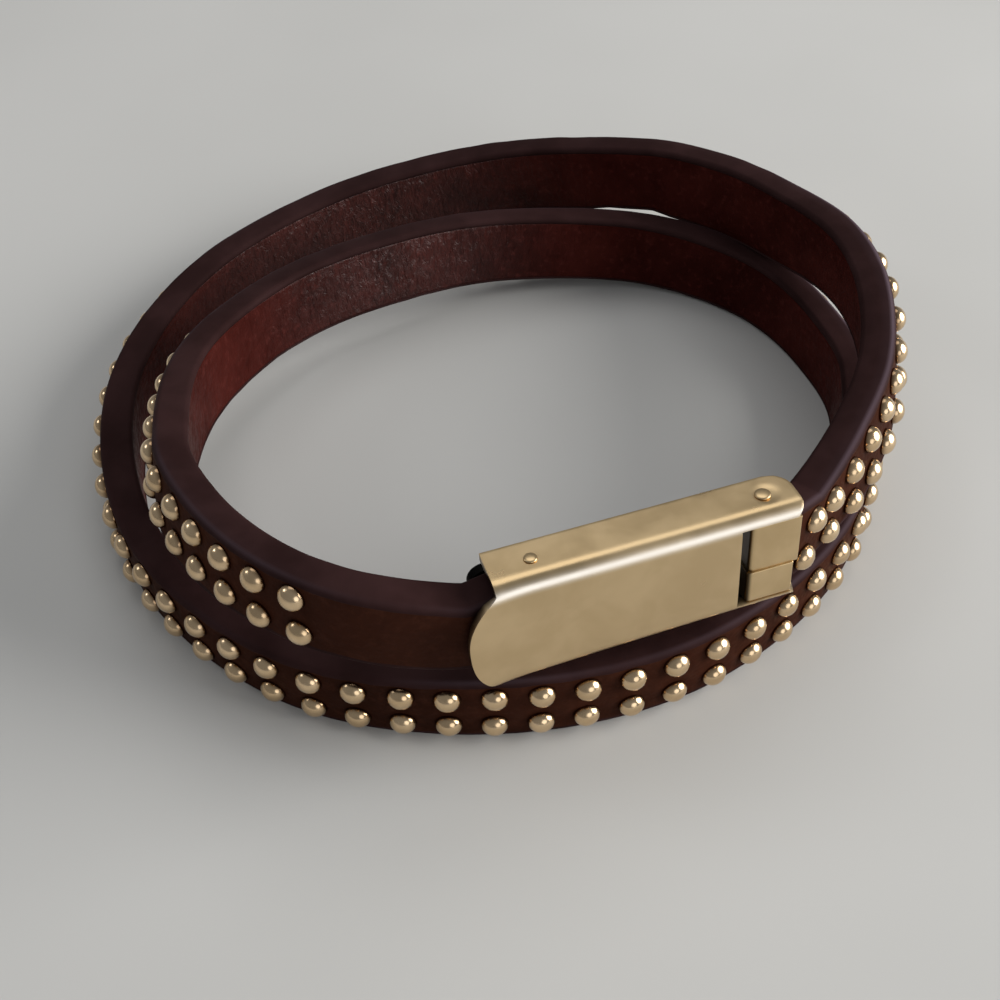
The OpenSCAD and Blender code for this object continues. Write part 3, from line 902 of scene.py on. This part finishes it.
def make_pin(name, diameter, x, body, node, material):
    """Pin through both flanges, with a low dome on each end and a narrow groove round it."""
    half, r = CLASP_H / 2, diameter / 2
    head = [(r * 0.8, half - 0.1), (r * 0.84, half + 0.02), (r, half + 0.03), (r, half + HEAD_WALL)]
    head += [(r * math.cos(a), half + HEAD_WALL + (HEAD_RISE - HEAD_WALL) * math.sin(a))
             for a in np.radians((20, 40, 60, 78))]
    drop = float(lower_drop(x, -half))
    profile = [(radius, -z - drop) for radius, z in head[::-1]] + head
    around = np.radians(np.arange(PIN_SIDES) * 360 / PIN_SIDES)
    ring = np.column_stack([np.cos(around), np.sin(around), np.zeros(PIN_SIDES)])
    points = np.vstack([radius * ring + (x, 0, z) for radius, z in profile])
    faces = tube_faces(len(profile), PIN_SIDES)
    piece = make_piece(name, in_clasp(points), faces, material, {"local": points})
    face_outwards(piece)
    declare(piece, body, node)


def dress_catch_plate(material):
    """The solid keeps its shape and gets its metal and rounded corners."""
    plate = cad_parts["catch_plate"]
    plate.data.materials.clear()
    plate.data.materials.append(material)
    weld = plate.modifiers.new("weld", "WELD")
    weld.merge_threshold = 0.001 * MM
    add_bevel(plate, 0.3, 4)


# Stage, lights and camera

FLOOR_HALF = 1.5  # metres
LIGHT_AIM = (0, 0, 0.01)
WORLD_STRENGTH = 0.235
# Place and size in metres, power in watts and tint of each light
LIGHTS = {
    "key": ((0.67, -0.04, 0.27), (0.62, 0.62), 7.0, (1.0, 0.985, 0.96)),
    "side": ((-0.5, 0.1, 0.35), (0.16, 0.16), 0.25, (0.95, 0.97, 1.0)),
    "back": ((0.0, 0.3, 0.58), (0.6, 0.4), 0.85, (1.0, 1.0, 1.0)),
    "front": ((0.3, -0.6, 0.25), (0.45, 0.45), 0.7, (0.98, 0.985, 1.0)),
}
CAMERA_DOWN = math.radians(49.03)  # how far the camera looks down
CAMERA_ROLL = math.radians(-1.38)
CAMERA_DISTANCE = 118.2
CAMERA_AIM = (0.35, -8.58, 0.0)
CAMERA_LENS = 46.55
SENSOR = 36.0


def add_floor(material):
    corners = [(x * FLOOR_HALF, y * FLOOR_HALF, 0) for x, y in ((-1, -1), (1, -1), (1, 1), (-1, 1))]
    mesh = bpy.data.meshes.new("floor")
    mesh.from_pydata(corners, [], [(0, 1, 2, 3)])
    mesh.materials.append(material)
    floor = bpy.data.objects.new("floor", mesh)
    bpy.context.scene.collection.objects.link(floor)


def add_light(name, place, size, power, tint):
    data = bpy.data.lights.new(name, "AREA")
    data.shape = "ELLIPSE"
    data.size, data.size_y = size
    data.energy = power
    data.color = tint
    light = bpy.data.objects.new(name, data)
    light.location = place
    light.rotation_euler = (Vector(LIGHT_AIM) - Vector(place)).to_track_quat("-Z", "Y").to_euler()
    bpy.context.scene.collection.objects.link(light)


def add_world(strength):
    world = bpy.data.worlds.new("studio")
    world.use_nodes = True
    background = world.node_tree.nodes["Background"]
    background.inputs["Color"].default_value = rgb(0.95, 0.97, 1.0)
    background.inputs["Strength"].default_value = strength
    bpy.context.scene.world = world


def add_camera():
    forward = np.array([0, math.cos(CAMERA_DOWN), -math.sin(CAMERA_DOWN)])
    right, up = np.array([1.0, 0, 0]), np.cross([1.0, 0, 0], forward)
    rolled_right = right * math.cos(CAMERA_ROLL) + up * math.sin(CAMERA_ROLL)
    rolled_up = -right * math.sin(CAMERA_ROLL) + up * math.cos(CAMERA_ROLL)
    aim = np.array(CAMERA_AIM) - WRAP_R * np.array([*MIDDLE, 0])
    place = (aim - forward * CAMERA_DISTANCE) * MM
    data = bpy.data.cameras.new("camera")
    data.lens = CAMERA_LENS
    data.sensor_width = SENSOR
    data.clip_start = 0.001
    camera = bpy.data.objects.new("camera", data)
    turn = Matrix(np.column_stack([rolled_right, rolled_up, -forward]).tolist())
    camera.matrix_world = Matrix.LocRotScale(Vector(place), turn.to_quaternion(), None)
    bpy.context.scene.collection.objects.link(camera)
    bpy.context.scene.camera = camera


# The scene

rng = np.random.default_rng(11)
make_strap(strap_material())
make_lining(lining_material())
stud_metal = stud_material()
make_studs("studs_outer", 0, turn_count, "studs_outer_turn", stud_metal, rng)
make_studs("studs_inner", turn_count, stud_count, "studs_inner_turn", stud_metal, rng)
clasp_metal = clasp_material()
make_lever(clasp_metal)
make_cap(clasp_metal)
make_pin("pin_hinge", HINGE_D, 0.0, "bracelet", "hinge_pin", clasp_metal)
make_pin("pin_catch", CATCH_D, -PIN_SPAN, "lever", "catch_pin", clasp_metal)
dress_catch_plate(dark_material())

add_floor(floor_material())
add_world(WORLD_STRENGTH)
for light_name, light in LIGHTS.items():
    add_light(light_name, *light)
add_camera()
bpy.context.scene.view_settings.view_transform = "Standard"
